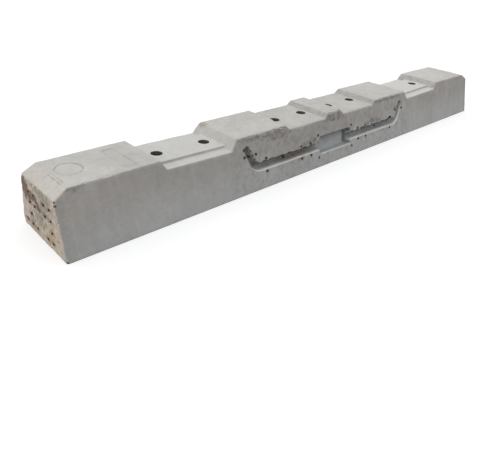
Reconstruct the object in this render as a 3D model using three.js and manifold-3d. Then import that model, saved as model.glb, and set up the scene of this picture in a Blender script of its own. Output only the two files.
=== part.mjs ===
// Pretensioned concrete bridge sleeper: one cast bar with two canted rail seats, two guard-rail
// seats, eight bolt holes and a cable groove with a pocket in one side, stressed by steel wires.
// Millimetres, +Z up, +X along the sleeper, origin in the middle of the underside. The groove
// and the pocket are in the -Y side.

import * as THREE from 'three';
import { mergeVertices } from 'three/addons/utils/BufferGeometryUtils.js';
import Module from 'manifold-3d';

// Outside form of the concrete
const sleeperLength = 2600;
const baseWidth = 330;
const topWidth = 226;
const blockHeight = 225;
const endChamferRun = 50;
const endChamferDrop = 30;
const topEdgeRadius = 6;
const bottomEdgeRadius = 3;
const crestRadius = 7;
const footRadius = 9;

// Rail seats: canted towards the track centre, each a raised plateau with a ledge on both sides
const railSeatCentre = 762;
const railSeatLength = 299;
const railSeatHeight = 196;
const railSeatCant = 1 / 40;
const railOuterSlopeRun = 17;
const railInnerSlopeRun = 23;
const plateauWidth = 150;
const ledgeDrop = 9;

// Guard-rail seats and the block between them
const guardSeatCentre = 181;
const guardSeatLength = 233;
const guardSeatHeight = 205;
const guardOuterSlopeRun = 19;
const guardInnerSlopeRun = 17;

// Vertical bolt holes, right through, a pair in each seat
const boltHoleRadius = 21.5;
const railBoltSpacing = 213;
const guardBoltSpacing = 170;

// Cable groove: it rises at both ends and is cut square to the battered side
const grooveHeight = 92;
const grooveHalfWidth = 19;
const grooveDepth = 34;
const grooveRunHalf = 476;
const elbowRadius = 46;
const elbowAngle = THREE.MathUtils.degToRad(66);
const riserTopHeight = 169;
const riserHalfWidth = 16.5;

// Pocket in the middle of the groove
const pocketLength = 224;
const pocketLow = 58;
const pocketHigh = 132;
const pocketDepth = 50;
const pocketCornerRadius = 14;
const pocketFloorRadius = 8;

// Blind holes for the cable clips, in pairs above and below the groove or beside its risers
const clipHoleRadius = 4.5;
const clipHoleDepth = 30;
const clipOffset = 25.5;
const clipPlaces = [173, 234, 445];
const pocketClipPlace = 120;
const pocketClipLow = 44;
const pocketClipHigh = 140.5;
const riserClipHeight = 146;
const riserClipOffset = 30;

// Prestressing wires: rows by height, columns by distance from the middle plane
const wireRadius = 3.5;
const wireClearance = 0.3;
const wireInnerColumn = 38.5;
const wireOuterColumn = 77;
const wireRows = [
  { height: 150, columns: [wireInnerColumn, wireOuterColumn] },
  { height: 110, columns: [wireInnerColumn, wireOuterColumn] },
  { height: 68, columns: [wireOuterColumn] },
  { height: 29, columns: [wireInnerColumn, wireOuterColumn] },
];

// Facets, and how far a cutting tool stands out of the concrete
const edgeFacets = 3;
const boltHoleFacets = 40;
const clipHoleFacets = 12;
const wireFacets = 12;
const grooveFacets = 28;
const elbowFacets = 9;
const tipFacets = 5;
const cutMargin = 20;

const concrete = new THREE.MeshStandardMaterial({ color: '#b4b0a9', roughness: 0.9, metalness: 0 });
const steel = new THREE.MeshStandardMaterial({ color: '#4b3728', roughness: 0.7, metalness: 0.6 });

const wasm = await Module();
wasm.setup();

// ---------------------------------------------------------------- solids

// A closed three.js geometry as a solid that can be joined and cut.
function toSolid(geometry) {
  geometry.deleteAttribute('normal');
  geometry.deleteAttribute('uv');
  const merged = mergeVertices(geometry, 1e-4);
  return new wasm.Manifold(new wasm.Mesh({
    numProp: 3,
    vertProperties: new Float32Array(merged.attributes.position.array),
    triVerts: new Uint32Array(merged.index.array),
  }));
}

function toGeometry(solid) {
  const mesh = solid.getMesh();
  const geometry = new THREE.BufferGeometry();
  geometry.setAttribute('position', new THREE.BufferAttribute(mesh.vertProperties, 3));
  geometry.setIndex(new THREE.BufferAttribute(mesh.triVerts, 1));
  geometry.computeVertexNormals();
  return geometry;
}

// An outline of straight sides between [across, up, radius] corners, each rounded by a curve
// that leaves both sides where an arc of that radius would.
function roundedOutline(corners) {
  const shape = new THREE.Shape();
  corners.forEach(([x, y, radius], index) => {
    const before = corners.at(index - 1);
    const after = corners[(index + 1) % corners.length];
    const corner = new THREE.Vector2(x, y);
    const back = new THREE.Vector2(before[0] - x, before[1] - y).normalize();
    const ahead = new THREE.Vector2(after[0] - x, after[1] - y).normalize();
    const reach = radius / Math.tan(Math.acos(back.dot(ahead)) / 2);
    const enter = corner.clone().addScaledVector(back, reach);
    const leave = corner.clone().addScaledVector(ahead, reach);
    if (index === 0) shape.moveTo(enter.x, enter.y);
    else shape.lineTo(enter.x, enter.y);
    if (radius > 0) shape.quadraticCurveTo(x, y, leave.x, leave.y);
  });
  shape.closePath();
  return shape;
}

// Extrudes a flat outline: its across, up and extrusion directions become three given axes.
function extrude(shape, depth, across, up, along, start, options = {}) {
  const settings = { depth, bevelEnabled: false, curveSegments: edgeFacets, ...options };
  const geometry = new THREE.ExtrudeGeometry(shape, settings);
  geometry.applyMatrix4(new THREE.Matrix4().makeBasis(across, up, along).setPosition(start));
  return toSolid(geometry);
}

const axisX = new THREE.Vector3(1, 0, 0);
const axisY = new THREE.Vector3(0, 1, 0);
const axisZ = new THREE.Vector3(0, 0, 1);

// ---------------------------------------------------------------- battered side

const batter = Math.atan((baseWidth - topWidth) / 2 / blockHeight);
const faceUp = new THREE.Vector3(0, Math.sin(batter), Math.cos(batter));
const faceOut = new THREE.Vector3(0, -Math.cos(batter), Math.sin(batter));
const faceFoot = new THREE.Vector3(0, -baseWidth / 2, 0);

// Distance up the face of a point at a given height, and the face's place across at that height.
const upFace = (height) => height / Math.cos(batter);
const faceAcross = (height) => -baseWidth / 2 + height * Math.tan(batter);

// ---------------------------------------------------------------- outside form

const railOuter = railSeatCentre + railSeatLength / 2;
const railInner = railSeatCentre - railSeatLength / 2;
const guardOuter = guardSeatCentre + guardSeatLength / 2;
const guardInner = guardSeatCentre - guardSeatLength / 2;
const halfLength = sleeperLength / 2;

// Height of a rail seat's plateau at a distance from the sleeper's middle.
const plateauHeight = (reach) => railSeatHeight + railSeatCant * (reach - railSeatCentre);

function crossSection() {
  const shape = roundedOutline([
    [-baseWidth / 2, 0, bottomEdgeRadius],
    [baseWidth / 2, 0, bottomEdgeRadius],
    [topWidth / 2, blockHeight, topEdgeRadius],
    [-topWidth / 2, blockHeight, topEdgeRadius],
  ]);
  const start = new THREE.Vector3(-halfLength - cutMargin, 0, 0);
  return extrude(shape, sleeperLength + 2 * cutMargin, axisY, axisZ, axisX, start);
}

// Where a slope with this run, carried on down past the plateau's end, meets a seat so much lower.
function seatFoot(end, run, drop) {
  const rise = blockHeight - plateauHeight(end);
  const share = drop / (rise - railSeatCant * run);
  return [end - share * run, plateauHeight(end) - share * rise];
}

// The outline seen from the side, with the rail seats sunk below the plateaus by the given drop.
function elevation(seatDrop, width) {
  const half = [
    [halfLength, -cutMargin, 0],
    [halfLength, blockHeight - endChamferDrop, crestRadius],
    [halfLength - endChamferRun, blockHeight, crestRadius],
    [railOuter + railOuterSlopeRun, blockHeight, crestRadius],
    [...seatFoot(railOuter, railOuterSlopeRun, seatDrop), footRadius],
    [...seatFoot(railInner, -railInnerSlopeRun, seatDrop), footRadius],
    [railInner - railInnerSlopeRun, blockHeight, crestRadius],
    [guardOuter + guardOuterSlopeRun, blockHeight, crestRadius],
    [guardOuter, guardSeatHeight, footRadius],
    [guardInner, guardSeatHeight, footRadius],
    [guardInner - guardInnerSlopeRun, blockHeight, crestRadius],
  ];
  const otherHalf = half.map(([x, z, radius]) => [-x, z, radius]).reverse();
  const start = new THREE.Vector3(0, width / 2, 0);
  const shape = roundedOutline([...half, ...otherHalf]);
  return extrude(shape, width, axisX, axisZ, axisY.clone().negate(), start);
}

// ---------------------------------------------------------------- holes

function boltHole(x) {
  const height = blockHeight + 2 * cutMargin;
  const geometry = new THREE.CylinderGeometry(boltHoleRadius, boltHoleRadius, height, boltHoleFacets);
  geometry.rotateX(Math.PI / 2);
  geometry.translate(x, 0, blockHeight / 2);
  return toSolid(geometry);
}

function clipHole(x, height) {
  const length = clipHoleDepth + cutMargin;
  const geometry = new THREE.CylinderGeometry(clipHoleRadius, clipHoleRadius, length, clipHoleFacets);
  geometry.translate(x, faceAcross(height) + clipHoleDepth - length / 2, height);
  return toSolid(geometry);
}

function wireBore(across, height) {
  const radius = wireRadius + wireClearance;
  const length = sleeperLength + 2 * cutMargin;
  const geometry = new THREE.CylinderGeometry(radius, radius, length, wireFacets);
  geometry.rotateZ(Math.PI / 2);
  geometry.translate(0, across, height);
  return toSolid(geometry);
}

// ---------------------------------------------------------------- groove and pocket

// The groove's middle line on the face, from the tip of one riser to the tip of the other.
function grooveRoute() {
  const low = upFace(grooveHeight);
  const rise = upFace(riserTopHeight) - low - elbowRadius * (1 - Math.cos(elbowAngle));
  const elbowEnd = grooveRunHalf + elbowRadius * Math.sin(elbowAngle);
  const tip = elbowEnd + rise / Math.tan(elbowAngle);
  const down = -Math.PI / 2;
  const centre = low + elbowRadius;
  const route = new THREE.Path();
  route.moveTo(-tip, upFace(riserTopHeight));
  route.lineTo(-elbowEnd, upFace(riserTopHeight) - rise);
  route.absarc(-grooveRunHalf, centre, elbowRadius, down - elbowAngle, down, false);
  route.lineTo(grooveRunHalf, low);
  route.absarc(grooveRunHalf, centre, elbowRadius, down, down + elbowAngle, false);
  route.lineTo(tip, upFace(riserTopHeight));
  return { route, tip, riserLength: rise / Math.sin(elbowAngle) };
}

// Places along the route from one tip to the middle, each with the groove's half width there:
// a round tip, a riser of even width, and an elbow that widens to the width of the level run.
function grooveStations(riserLength) {
  const stations = [];
  for (let step = 1; step <= tipFacets; step += 1) {
    const angle = (step / tipFacets) * (Math.PI / 2);
    const halfWidth = riserHalfWidth * Math.sin(angle);
    stations.push({ distance: -riserHalfWidth * Math.cos(angle), halfWidth });
  }
  for (let step = 0; step <= elbowFacets; step += 1) {
    const share = step / elbowFacets;
    const halfWidth = THREE.MathUtils.lerp(riserHalfWidth, grooveHalfWidth, share);
    stations.push({ distance: riserLength + share * elbowRadius * elbowAngle, halfWidth });
  }
  return stations;
}

// A bar of half-elliptic section carried along the route. Each ring of a cylinder moves to its
// station: its side goes across the groove by the half width, its front goes out by the depth.
function grooveCut() {
  const { route, riserLength } = grooveRoute();
  const length = route.getLength();
  const firstHalf = grooveStations(riserLength);
  const secondHalf = firstHalf.map((station) => ({ ...station, distance: length - station.distance }));
  const stations = [...firstHalf, ...secondHalf.reverse()];
  const geometry = new THREE.CylinderGeometry(1, 1, 1, grooveFacets, stations.length - 1);
  const position = geometry.attributes.position;
  const point = new THREE.Vector3();
  for (let index = 0; index < position.count; index += 1) {
    point.fromBufferAttribute(position, index);
    const { distance, halfWidth } = stations[Math.round((0.5 - point.y) * (stations.length - 1))];
    const inside = THREE.MathUtils.clamp(distance, 0, length);
    const middle = route.getPoint(inside / length);
    const heading = route.getTangent(inside / length);
    middle.addScaledVector(heading, distance - inside);
    const side = point.x * halfWidth;
    const depth = grooveDepth * point.z * (halfWidth / Math.max(halfWidth, riserHalfWidth));
    position.setXYZ(index, middle.x - heading.y * side, middle.y + heading.x * side, depth);
  }
  geometry.applyMatrix4(new THREE.Matrix4().makeBasis(axisX, faceUp, faceOut).setPosition(faceFoot));
  return toSolid(geometry);
}

function pocketCut() {
  const shape = roundedOutline([
    [-pocketLength / 2, upFace(pocketLow), pocketCornerRadius],
    [pocketLength / 2, upFace(pocketLow), pocketCornerRadius],
    [pocketLength / 2, upFace(pocketHigh), pocketCornerRadius],
    [-pocketLength / 2, upFace(pocketHigh), pocketCornerRadius],
  ]);
  const rounding = {
    bevelEnabled: true,
    bevelThickness: pocketFloorRadius,
    bevelSize: pocketFloorRadius,
    bevelOffset: -pocketFloorRadius,
    bevelSegments: edgeFacets,
  };
  const start = faceFoot.clone().addScaledVector(faceOut, pocketFloorRadius - pocketDepth);
  return extrude(shape, pocketDepth + cutMargin, axisX, faceUp, faceOut, start, rounding);
}

// Places of the clip holes on one half, as distance from the middle and height.
function clipHolePlaces() {
  const { tip } = grooveRoute();
  const low = upFace(grooveHeight);
  const share = (upFace(riserClipHeight) - low) / (upFace(riserTopHeight) - low);
  const riser = THREE.MathUtils.lerp(grooveRunHalf + elbowRadius / 2, tip, share);
  return [
    [pocketClipPlace, pocketClipLow],
    [pocketClipPlace, pocketClipHigh],
    ...clipPlaces.flatMap((x) => [[x, grooveHeight - clipOffset], [x, grooveHeight + clipOffset]]),
    [riser - riserClipOffset, riserClipHeight],
    [riser + riserClipOffset, riserClipHeight],
  ];
}

// ---------------------------------------------------------------- pieces

const wirePlaces = wireRows.flatMap(({ height, columns }) => (
  columns.flatMap((across) => [{ across, height }, { across: -across, height }])
));

function sleeperBody() {
  const ledges = elevation(ledgeDrop, baseWidth + 2 * cutMargin);
  let body = crossSection().intersect(ledges.add(elevation(0, plateauWidth)));
  for (const side of [-1, 1]) {
    for (const end of [-0.5, 0.5]) {
      body = body.subtract(boltHole(side * (railSeatCentre + end * railBoltSpacing)));
      body = body.subtract(boltHole(side * (guardSeatCentre + end * guardBoltSpacing)));
    }
    for (const [x, height] of clipHolePlaces()) body = body.subtract(clipHole(side * x, height));
  }
  body = body.subtract(grooveCut()).subtract(pocketCut());
  for (const { across, height } of wirePlaces) body = body.subtract(wireBore(across, height));
  return toGeometry(body);
}

const sleeper = new THREE.Group();

const body = new THREE.Mesh(sleeperBody(), concrete);
body.name = 'sleeper_body';
sleeper.add(body);

wirePlaces.forEach(({ across, height }, index) => {
  const geometry = new THREE.CylinderGeometry(wireRadius, wireRadius, sleeperLength, wireFacets);
  const wire = new THREE.Mesh(geometry.rotateZ(Math.PI / 2), steel);
  wire.name = `prestressing_wire_${String(index + 1).padStart(2, '0')}`;
  wire.position.set(0, across, height);
  sleeper.add(wire);
});

export default sleeper;
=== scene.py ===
"""Pretensioned concrete bridge sleeper: the cast body with its moulded, worn and broken surfaces,
the rusted ends of its prestressing wires, and a plain studio around it. Metres, +Z up, +X along
the sleeper, origin in the middle of the underside."""

import functools
import itertools
import math

import bpy
import numpy as np
from mathutils import Matrix, Vector


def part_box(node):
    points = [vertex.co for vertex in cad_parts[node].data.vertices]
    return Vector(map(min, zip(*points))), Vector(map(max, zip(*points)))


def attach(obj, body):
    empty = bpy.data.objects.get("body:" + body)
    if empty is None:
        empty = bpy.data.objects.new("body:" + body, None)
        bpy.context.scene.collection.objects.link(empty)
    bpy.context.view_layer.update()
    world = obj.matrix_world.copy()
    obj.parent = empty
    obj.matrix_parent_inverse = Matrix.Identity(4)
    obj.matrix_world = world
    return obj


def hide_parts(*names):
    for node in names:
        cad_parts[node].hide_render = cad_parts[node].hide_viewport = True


bl_info = {
    "name": "Concrete bridge sleeper",
    "version": (1, 0, 0),
    "blender": (4, 5, 0),
    "location": "3D View > Sidebar > Sleeper",
    "description": "Dresses the solid model of a pretensioned concrete bridge sleeper",
    "category": "Object",
}

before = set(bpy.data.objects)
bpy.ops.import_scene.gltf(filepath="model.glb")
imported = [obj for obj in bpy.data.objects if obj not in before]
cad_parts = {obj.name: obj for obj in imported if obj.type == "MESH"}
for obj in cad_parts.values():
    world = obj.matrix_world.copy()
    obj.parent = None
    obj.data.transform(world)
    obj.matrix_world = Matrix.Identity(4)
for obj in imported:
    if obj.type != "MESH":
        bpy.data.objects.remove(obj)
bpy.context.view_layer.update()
BODY_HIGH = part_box("sleeper_body")[1]
WIRES = sorted(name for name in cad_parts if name.startswith("prestressing_wire"))


def linear(hex_colour):
    """Linear red, green and blue of an sRGB hex colour."""
    encoded = np.array([int(hex_colour[place:place + 2], 16) for place in (1, 3, 5)]) / 255
    dark, bright = encoded / 12.92, ((encoded + 0.055) / 1.055) ** 2.4
    return tuple(float(value) for value in np.where(encoded <= 0.04045, dark, bright))


def length(name, description, default, least=0.0):
    """A size in metres that a user may change."""
    return bpy.props.FloatProperty(name=name, description=description, default=default, min=least,
                                   precision=4, unit="LENGTH", subtype="DISTANCE")


def colour(name, description, default):
    """A colour that a user may change."""
    return bpy.props.FloatVectorProperty(name=name, description=description, size=3, min=0, max=1,
                                         default=linear(default), subtype="COLOR")


# ---------------------------------------------------------------- sizes and finishes

class SleeperBodySizes(bpy.types.PropertyGroup):
    """The outside form of the concrete"""
    half_length: length("Half length", "Middle to either end face", BODY_HIGH.x)
    half_base: length("Half base width", "Middle plane to the foot of a side", 0.165)
    half_top: length("Half top width", "Middle plane to a side's top edge", 0.113)
    block_height: length("Block height", "Underside to the top of the blocks", BODY_HIGH.z)
    chamfer_run: length("End chamfer run", "Chamfer's length along the sleeper", 0.050)
    chamfer_drop: length("End chamfer drop", "Chamfer's height", 0.030)
    rail_seat: length("Rail seat place", "Middle to the centre of a rail seat", 0.762)
    rail_seat_half: length("Rail seat half length", "Half a rail seat's length", 0.1495)
    rail_seat_height: length("Rail seat height", "Height at a rail seat's centre", 0.196)
    rail_seat_cant: bpy.props.FloatProperty(
        name="Rail seat cant", description="Rise per length, towards the ends", default=1 / 40)
    rail_outer_run: length("Outer rail slope", "Run of the slope outside a rail seat", 0.017)
    rail_inner_run: length("Inner rail slope", "Run of the slope inside a rail seat", 0.023)
    plateau_half: length("Plateau half width", "Middle plane to the step of a seat", 0.075)
    ledge_drop: length("Ledge drop", "Height of the step beside a seat", 0.009)
    guard_seat: length("Guard seat place", "Middle to a guard seat's centre", 0.181)
    guard_seat_half: length("Guard seat half length", "Half a guard seat's length", 0.1165)
    guard_seat_height: length("Guard seat height", "Height of a guard-rail seat", 0.205)
    guard_outer_run: length("Outer guard slope", "Run of the slope outside the seat", 0.019)
    guard_inner_run: length("Inner guard slope", "Run of the slope inside the seat", 0.017)
    edge_radius: length("Edge radius", "Rounding of the long top edges", 0.0045)
    foot_radius: length("Foot radius", "Rounding of the long bottom edges", 0.0042)
    crest_radius: length("Crest radius", "Rounding of the slopes' top edges", 0.006)
    seat_foot_radius: length("Seat foot radius", "Rounding at the slopes' feet", 0.009)


class SleeperCutSizes(bpy.types.PropertyGroup):
    """The holes, the groove and the pocket"""
    bolt_radius: length("Bolt hole radius", "Radius of the eight through holes", 0.0215)
    rail_bolt_gap: length("Rail bolt spacing", "Spacing of a rail seat's holes", 0.213)
    guard_bolt_gap: length("Guard bolt spacing", "Spacing of a guard seat's holes", 0.170)
    bolt_easing: length("Bolt hole easing", "Rounding of the holes' rims", 0.0012)
    groove_height: length("Groove height", "Height of the groove's level run", 0.092)
    groove_half: length("Groove half width", "Half the groove's width", 0.019)
    groove_depth: length("Groove depth", "Depth square to the side", 0.034)
    groove_run: length("Groove run", "Middle to where the elbows start", 0.476)
    elbow_radius: length("Elbow radius", "Radius of the groove's middle line", 0.046)
    elbow_angle: bpy.props.FloatProperty(
        name="Elbow angle", description="Turn of an elbow", default=math.radians(66),
        unit="ROTATION", subtype="ANGLE")
    riser_height: length("Riser height", "Height of the riser's tip", 0.169)
    riser_half: length("Riser half width", "Half the riser's width", 0.0165)
    lip: length("Lip", "Rounding of the groove's and the pocket's edges", 0.003)
    lower_lip: length("Lower lip", "Rounding of the level run's lower edge", 0.0082)
    pocket_half: length("Pocket half length", "Half the pocket's length", 0.112)
    pocket_low: length("Pocket foot", "Height of the pocket's lower edge", 0.058)
    pocket_high: length("Pocket head", "Height of the pocket's upper edge", 0.132)
    pocket_depth: length("Pocket depth", "Depth square to the side", 0.050)
    pocket_corner: length("Pocket corner", "Radius of the pocket's corners", 0.014)
    pocket_floor: length("Pocket floor edge", "Radius round the pocket's floor", 0.012)
    clip_radius: length("Clip hole radius", "Radius of the clip holes", 0.0045)
    clip_depth: length("Clip hole depth", "Depth of the clip holes", 0.030)
    clip_offset: length("Clip offset", "Groove's middle line to a clip hole", 0.0255)
    riser_clip_height: length("Riser clip height", "Height of the riser's holes", 0.146)
    riser_clip_offset: length("Riser clip offset", "Riser to its clip holes", 0.030)


class SleeperWear(bpy.types.PropertyGroup):
    """How uneven, worn and pitted the concrete is"""
    waviness: length("Waviness", "Unevenness of the mould faces", 0.0007)
    edge_wear: length("Edge wear", "Wear along the edges", 0.0008)
    chip_depth: length("Chip depth", "Depth of the chips in the edges", 0.0040)
    end_roughness: length("End roughness", "Unevenness of the end faces", 0.0022)
    air_void: length("Air void", "Radius of the larger air voids", 0.0032)


class SleeperFinishes(bpy.types.PropertyGroup):
    """Colours of the finishes"""
    concrete_light: colour("Concrete, light", "Dry cement skin", "#c1beb9")
    concrete_dark: colour("Concrete, dark", "Denser, darker patches of the skin", "#aaa7a2")
    seat_tint: colour("Seat concrete", "Smoother, greener skin of the rail seats", "#c1c0bc")
    # Painted shade on the slopes.
    slope_painted_shade: colour("Slope concrete", "Rougher, dirtier skin of the slopes", "#a9a6a1")
    # Painted shade high up the sides, and painted bounce light at their foot.
    side_painted_shade_high: colour("Side, high up", "Shade over the upper part of the sides", "#f9f7f7")
    side_painted_bounce_low: colour("Side, low down", "Paler skin at the foot of the sides", "#bcbec2")
    side_end: colour("Side, at the ends", "Shade over the sides' last 30 mm", "#f3f4f8")
    chamfer_pink: colour("Chamfer, pinkish", "One of the chamfers' patches", "#c6bab3")
    chamfer_yellow: colour("Chamfer, yellowish", "The other of the chamfers' patches", "#c0bcad")
    run_shade: colour("Run shade", "Shade in the runs down the sides", "#898681")
    mottle_shade: colour("Mottle shade", "Shade of the darker small blotches", "#bfbeba")
    # A dark used for grime and for painted shade in creases, pinholes, the groove and the pocket.
    grime_and_shade_dark: colour("Void shade", "Dirt in the air voids", "#5d5852")
    # Painted shade on the walls of the holes, voids and notches.
    hole_painted_shade: colour("Hole wall", "Grease and dirt on the holes' walls", "#4e4b47")
    stain: colour("Brown stain", "Rust and timber stains", "#7b6350")
    end_light: colour("End mortar", "Mortar of the end faces", "#c0b3a4")
    end_dark: colour("End stain", "Damp brown stain on the end faces", "#5f4c3b")
    end_grey: colour("End grime", "Green-grey growth on the end faces", "#868575")
    end_tan: colour("End rust bloom", "Rust washed over the end faces", "#b18f66")
    end_stone: colour("End stone", "Crushed stone in the end faces", "#9a948b")
    groove_light: colour("Groove concrete", "Laitance in the groove", "#b3b4b3")
    # Painted highlight on the groove's and the pocket's lips where they face up.
    lip_painted_highlight: colour("Groove lip", "Chalky lower lip of the groove", "#d0cfcd")
    pocket_light: colour("Pocket floor", "Laitance in the pocket", "#bfc2c4")
    rust_dark: colour("Dark rust", "Old rust on the wire ends", "#33251c")
    rust_bright: colour("Bright rust", "Fresh rust on the wire ends", "#7a4a2c")
    floor: colour("Floor", "Studio floor, by its own colour", "#bcbcbc")


class SleeperStage(bpy.types.PropertyGroup):
    """The studio"""
    key_strength: bpy.props.FloatProperty(
        name="Key light", description="Strength of the broad overhead light", default=3.45, min=0)
    key_spread: bpy.props.FloatProperty(
        name="Key spread", description="Breadth of the overhead light, seen from the floor",
        default=math.radians(176), unit="ROTATION", subtype="ANGLE")
    sky_strength: bpy.props.FloatProperty(
        name="Sky", description="Strength of the even light from all round", default=0.12, min=0)
    floor_glow: bpy.props.FloatProperty(
        name="Floor glow", description="Light that comes through the floor", default=0.52, min=0)
    floor_half: length("Floor half width", "Middle to the floor's edges", 30.0)


# ---------------------------------------------------------------- surfaces

# The shortest rounding of a corner, the widest gap between the skin's rings, how far a cutting
# solid stands out of the concrete, and the gap round a wire.
LEAST_REACH, RING_GAP, CUT_MARGIN, WIRE_CLEARANCE = 0.0008, 0.0072, 0.02, 0.0003
# Clip holes of one half: along and height beside the pocket, and along beside the groove.
POCKET_CLIPS, GROOVE_CLIPS = ((0.120, 0.044), (0.120, 0.1405)), (0.173, 0.234, 0.445)


def lattice_noise(points, size, seed=0):
    """Smooth noise from 0 to 1: a random value at every corner of a cubic lattice of the given
    size, blended across each cell by 3t^2 - 2t^3. The random value is a fast sine's fraction."""
    place = points / size + seed * 17.31
    cell = np.floor(place)
    part = place - cell
    part = part * part * (3 - 2 * part)
    total = 0
    for corner in itertools.product((0, 1), repeat=3):
        spread = np.sin((cell + corner) @ (127.1, 311.7, 74.7)) * 43758.5453
        share = np.where(corner, part, 1 - part).prod(-1)
        total = total + share * (spread - np.floor(spread))
    return total


def ramp(value, low, high):
    """0 below low, 1 above high, and smooth between."""
    part = np.clip((value - low) / (high - low), 0, 1)
    return part * part * (3 - 2 * part)


def filled(marks, step):
    """The marks, with even places added so that no gap is wider than step."""
    marks = np.unique(np.round(marks, 5))
    counts = np.ceil(np.diff(marks) / step).astype(int)
    ends = np.concatenate(([0], np.cumsum(counts)))
    return np.interp(np.arange(ends[-1] + 1), ends, marks)


def eased_outline(corners, radii, counts, steps):
    """Closed outlines, one to a row of corners. A corner becomes a quadratic Bezier curve that
    starts and ends radius / tan(half its angle) from it; the straight run after corner k has
    counts[k] points inside it."""
    before = np.roll(corners, 1, axis=1) - corners
    after = np.roll(corners, -1, axis=1) - corners
    before /= np.linalg.norm(before, axis=-1, keepdims=True)
    after /= np.linalg.norm(after, axis=-1, keepdims=True)
    half = np.arccos(np.clip((before * after).sum(-1), -1, 1)) / 2
    reach = np.maximum(radii / np.tan(half), LEAST_REACH)[..., None]
    enter, leave = corners + before * reach, corners + after * reach
    parts = []
    for index, count in enumerate(counts):
        turn = np.linspace(0, 1, steps + 1)[None, :, None]
        along = ((np.arange(count) + 1) / (count + 1))[None, :, None]
        start, middle, end = (side[:, index, None] for side in (enter, corners, leave))
        following = enter[:, (index + 1) % len(counts), None]
        parts.append((1 - turn) ** 2 * start + 2 * turn * (1 - turn) * middle + turn ** 2 * end)
        parts.append(end * (1 - along) + following * along)
    return np.concatenate(parts, axis=1)


def grid_faces(rows, columns, wrap_columns=True):
    """Quads of a grid of points stored row by row, its last column joined to its first if it
    wraps."""
    row = np.arange(rows - 1)[:, None] * columns
    column = np.arange(columns if wrap_columns else columns - 1)
    ahead = (column + 1) % columns
    corners = (row + column, row + ahead, row + columns + ahead, row + columns + column)
    return np.stack(corners, axis=-1).reshape(-1, 4)


def ring_ends(rows, columns):
    """The two flat ends of a closed tube of rings, one polygon each."""
    first = np.arange(columns)
    return [first[::-1].tolist(), (first + (rows - 1) * columns).tolist()]


def closed_tube(rings):
    """Points and faces of a tube of rings (rows, columns, 3), closed by a polygon at each end."""
    rows, columns = rings.shape[:2]
    return rings.reshape(-1, 3), [*grid_faces(rows, columns).tolist(), *ring_ends(rows, columns)]


def joined(solids):
    """Several solids as one list of points and one of faces."""
    points, faces, first = [], [], 0
    for solid_points, solid_faces in solids:
        points.append(solid_points)
        faces += [[corner + first for corner in face] for face in solid_faces]
        first += len(solid_points)
    return np.concatenate(points), faces


def enclosed(points, faces):
    """Volume that a closed surface encloses: a sixth of the sum of the triple products of each
    face's fan of triangles, negative where the faces point inwards."""
    quads = np.array([face for face in faces if len(face) == 4])
    a, b, c, d = (points[quads[:, corner]] for corner in range(4))
    total = (np.cross(a, b) * c).sum() + (np.cross(a, c) * d).sum()
    for face in (face for face in faces if len(face) != 4):
        fan = points[face]
        total += (np.cross(fan[0], fan[1:-1]) * fan[2:]).sum()
    return total / 6


def solid_object(name, solid, material):
    """A closed surface as an object with one material, its faces turned outwards."""
    points, faces = solid
    if enclosed(points, faces) < 0:
        faces = [face[::-1] for face in faces]
    mesh = bpy.data.meshes.new(name)
    mesh.from_pydata(points.tolist(), [], faces)
    mesh.materials.append(material)
    piece = bpy.data.objects.new(name, mesh)
    bpy.context.scene.collection.objects.link(piece)
    return piece


# ---------------------------------------------------------------- outside form

def batter(body):
    """Lean of the sides: across per height."""
    return (body.half_base - body.half_top) / body.block_height


def plateau_height(body, reach):
    """Height of a rail seat's plateau at a distance from the middle."""
    return body.rail_seat_height + body.rail_seat_cant * (reach - body.rail_seat)


def seat_foot(body, end, run, drop):
    """Where a slope with this run, carried on down past the plateau's end, meets a seat that much
    lower."""
    rise = body.block_height - plateau_height(body, end)
    share = drop / (rise - body.rail_seat_cant * run)
    return end - share * run, plateau_height(body, end) - share * rise


def crest_line(body, drop=0.0):
    """The elevation's top line as places along and heights, with the rail seats sunk by a drop:
    straight runs between the corners of the blocks and the seats, with eased corners."""
    outer, inner = body.rail_seat + body.rail_seat_half, body.rail_seat - body.rail_seat_half
    guard_outer = body.guard_seat + body.guard_seat_half
    guard_inner = body.guard_seat - body.guard_seat_half
    top, crest, foot = body.block_height, body.crest_radius, body.seat_foot_radius
    half = np.array([
        (body.half_length, -0.02, 0),
        (body.half_length, top - body.chamfer_drop, crest),
        (body.half_length - body.chamfer_run, top, crest),
        (outer + body.rail_outer_run, top, crest),
        (*seat_foot(body, outer, body.rail_outer_run, drop), foot),
        (*seat_foot(body, inner, -body.rail_inner_run, drop), foot),
        (inner - body.rail_inner_run, top, crest),
        (guard_outer + body.guard_outer_run, top, crest),
        (guard_outer, body.guard_seat_height, foot),
        (guard_inner, body.guard_seat_height, foot),
        (guard_inner - body.guard_inner_run, top, crest),
    ])
    corners = np.concatenate((half, half[::-1] * (-1, 1, 1)))
    line = eased_outline(corners[None, :, :2], corners[None, :, 2], [0] * len(corners), 3)[0]
    line = line[line[:, 1] > top / 2]
    return line[np.argsort(line[:, 0], kind="stable")]


def stations(body, lines):
    """Places along the sleeper where the skin has a ring: every corner of the elevation's lines,
    2.4 mm apart on and beside the slopes, and no more than 7.2 mm apart elsewhere."""
    marks = np.linspace(-body.half_length, body.half_length, 1101)
    rise = np.abs(np.gradient(np.interp(marks, *lines[1].T), marks))
    sloping = np.convolve(rise > 0.1, np.ones(5), "same") > 0
    return filled(np.concatenate((*(line[:, 0] for line in lines), marks[sloping])), RING_GAP)


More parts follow.
